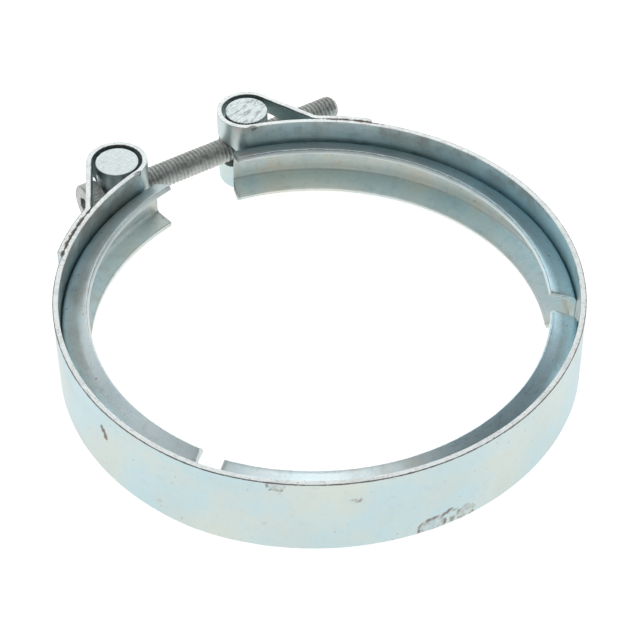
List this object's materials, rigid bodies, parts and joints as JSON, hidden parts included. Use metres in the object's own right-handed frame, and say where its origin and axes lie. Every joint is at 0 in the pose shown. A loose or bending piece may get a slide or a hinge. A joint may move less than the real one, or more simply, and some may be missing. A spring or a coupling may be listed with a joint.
{
  "type": "v-band pipe clamp",
  "caption": "Zinc-plated steel V-band clamp: a strap with V retainer segments inside, closed by a cap screw between two trunnions.",
  "frame": {"origin": "on the ring's axis at the strap's mid-width, the middle of the V groove's ring", "axes": "+Z along the ring's axis, +Y towards the screw, +X across the ring with the screw's threaded end on the +X side of its head"},
  "size_m": [0.1153, 0.1362, 0.019],
  "materials": {
    "zinc_strap": "clear zinc plate, satin, with brown handling and weld stains",
    "zinc_retainer": "clear zinc plate, satin, bluish where it faces up",
    "trunnion_steel": "turned steel, zinc plated, fine diagonal scratches on the ends",
    "screw_steel": "dull zinc plated, knurled head"
  },
  "bodies": {
    "front_section": {"strap_front": "zinc_strap", "retainer_front": "zinc_retainer"},
    "left_section": {"strap_left": "zinc_strap", "retainer_left": "zinc_retainer"},
    "right_section": {"strap_right": "zinc_strap", "retainer_right": "zinc_retainer"},
    "plain_trunnion": {"plain_trunnion": "trunnion_steel"},
    "threaded_trunnion": {"threaded_trunnion": "trunnion_steel"},
    "screw": {"clamp_screw": "screw_steel"}
  },
  "joints": [
    {"name": "left_flex", "type": "hinge", "parent": "front_section", "child": "left_section", "pos_m": [-0.02354, -0.05287, 0], "axis": [0, 0, -1], "range_deg": [-1.79, 3.54]},
    {"name": "right_flex", "type": "hinge", "parent": "front_section", "child": "right_section", "pos_m": [0.05784, -0.00212, 0], "axis": [0, 0, 1], "range_deg": [-2, 3.96]},
    {"name": "plain_trunnion_turn", "type": "hinge", "parent": "left_section", "child": "plain_trunnion", "pos_m": [-0.04567, 0.04334, 0], "axis": [0, 0, 1], "range_deg": [-1.9, 3.76]},
    {"name": "threaded_trunnion_turn", "type": "hinge", "parent": "right_section", "child": "threaded_trunnion", "pos_m": [-0.0161, 0.06225, 0], "axis": [0, 0, -1], "range_deg": [-1.89, 3.73]},
    {"name": "screw_turn", "type": "hinge", "parent": "plain_trunnion", "child": "screw", "pos_m": [-0.05001, 0.04057, 0], "axis": [0.8425, 0.5387, 0], "range_deg": [-2160, 4320]}
  ],
  "couplings": [
    {"joint": "left_flex", "follows": "screw_turn", "ratio": 0.00080682},
    {"joint": "right_flex", "follows": "screw_turn", "ratio": 0.0009042},
    {"joint": "plain_trunnion_turn", "follows": "screw_turn", "ratio": 0.00085814},
    {"joint": "threaded_trunnion_turn", "follows": "screw_turn", "ratio": 0.00085287}
  ]
}
